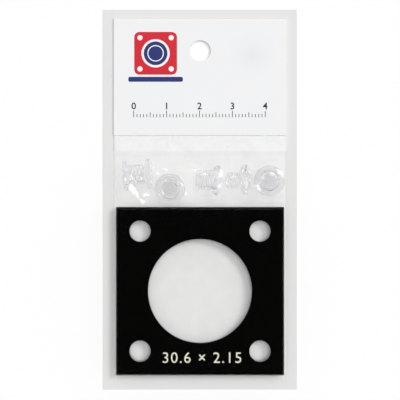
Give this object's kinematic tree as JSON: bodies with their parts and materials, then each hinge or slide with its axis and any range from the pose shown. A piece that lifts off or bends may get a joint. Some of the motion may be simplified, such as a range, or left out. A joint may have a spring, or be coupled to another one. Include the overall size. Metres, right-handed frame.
{
  "type": "screw-together coin holder kit in a hang bag",
  "caption": "Square three-ply acrylic coin holder with a round coin opening, its screws and posts loose in a clear hang bag under a folded header card.",
  "frame": {"origin": "on the surface under the middle of the pack, halfway from the card's fold to the bag's mouth", "axes": "+Y towards the hang hole, +X to the right seen from the front, +Z out of the front"},
  "size_m": [0.0524, 0.1106, 0.0098],
  "materials": {
    "bag_film": "clear soft film, glossy, lightly creased",
    "header_card": "white coated card, satin print face",
    "clear_acrylic": "clear sheet, polished faces, sawn edges",
    "black_acrylic": "black sheet, polished, pale foil stamped size",
    "clear_fasteners": "clear moulded plastic, glossy"
  },
  "bodies": {
    "bag": {"bag_back_film": "bag_film", "bag_front_film": "bag_film", "header_card": "header_card"},
    "clear_rear_plate": {"clear_rear_plate": "clear_acrylic"},
    "clear_front_plate": {"clear_front_plate": "clear_acrylic"},
    "black_centre_plate": {"black_centre_plate": "black_acrylic"},
    "screw_1": {"screw_1": "clear_fasteners"},
    "post_1": {"post_1": "clear_fasteners"},
    "screw_2": {"screw_2": "clear_fasteners"},
    "post_2": {"post_2": "clear_fasteners"},
    "screw_3": {"screw_3": "clear_fasteners"},
    "post_3": {"post_3": "clear_fasteners"},
    "screw_4": {"screw_4": "clear_fasteners"},
    "post_4": {"post_4": "clear_fasteners"}
  },
  "joints": [
    {"name": "clear_rear_plate_slide", "type": "slide", "parent": "bag", "child": "clear_rear_plate", "axis": [0, -1, 0], "range_m": [0, 0.062]},
    {"name": "black_centre_plate_slide", "type": "slide", "parent": "bag", "child": "black_centre_plate", "axis": [0, -1, 0], "range_m": [0, 0.062]},
    {"name": "clear_front_plate_slide", "type": "slide", "parent": "bag", "child": "clear_front_plate", "axis": [0, -1, 0], "range_m": [0, 0.062], "deforming": ["bag_front_film"]},
    {"name": "post_1_travel", "type": "slide", "parent": "bag", "child": "post_1", "axis": [-0.9962, -0.0872, 0], "range_m": [-0.00053, 0.00159]},
    {"name": "screw_1_turn", "type": "hinge", "parent": "bag", "child": "screw_1", "pos_m": [-0.01599, 0.00785, 0.00468], "axis": [0.9962, 0.0872, 0], "range_deg": [-180, 540]},
    {"name": "screw_2_travel", "type": "slide", "parent": "bag", "child": "screw_2", "axis": [0, 0, 1], "range_m": [0, 0.0005291]},
    {"name": "post_2_turn", "type": "hinge", "parent": "bag", "child": "post_2", "pos_m": [-0.0091, 0.0033, 0.00183], "axis": [0, 0, -1], "range_deg": [0, 180]},
    {"name": "post_3_travel", "type": "slide", "parent": "bag", "child": "post_3", "axis": [0, 0, 1], "range_m": [0, 0.0005291]},
    {"name": "screw_3_turn", "type": "hinge", "parent": "bag", "child": "screw_3", "pos_m": [0.0209, 0.0058, 0.00183], "axis": [0, 0, -1], "range_deg": [0, 180]},
    {"name": "screw_4_shuffle", "type": "slide", "parent": "bag", "child": "screw_4", "axis": [0, 1, 0], "range_m": [-0.003, 0.0015]},
    {"name": "post_4_shuffle", "type": "slide", "parent": "bag", "child": "post_4", "axis": [0, 1, 0], "range_m": [-0.003, 0.0015]}
  ],
  "couplings": [
    {"joint": "screw_1_turn", "follows": "post_1_travel", "rad_per_m": 5936.9},
    {"joint": "post_2_turn", "follows": "screw_2_travel", "rad_per_m": 5936.9},
    {"joint": "screw_3_turn", "follows": "post_3_travel", "rad_per_m": 5936.9}
  ]
}
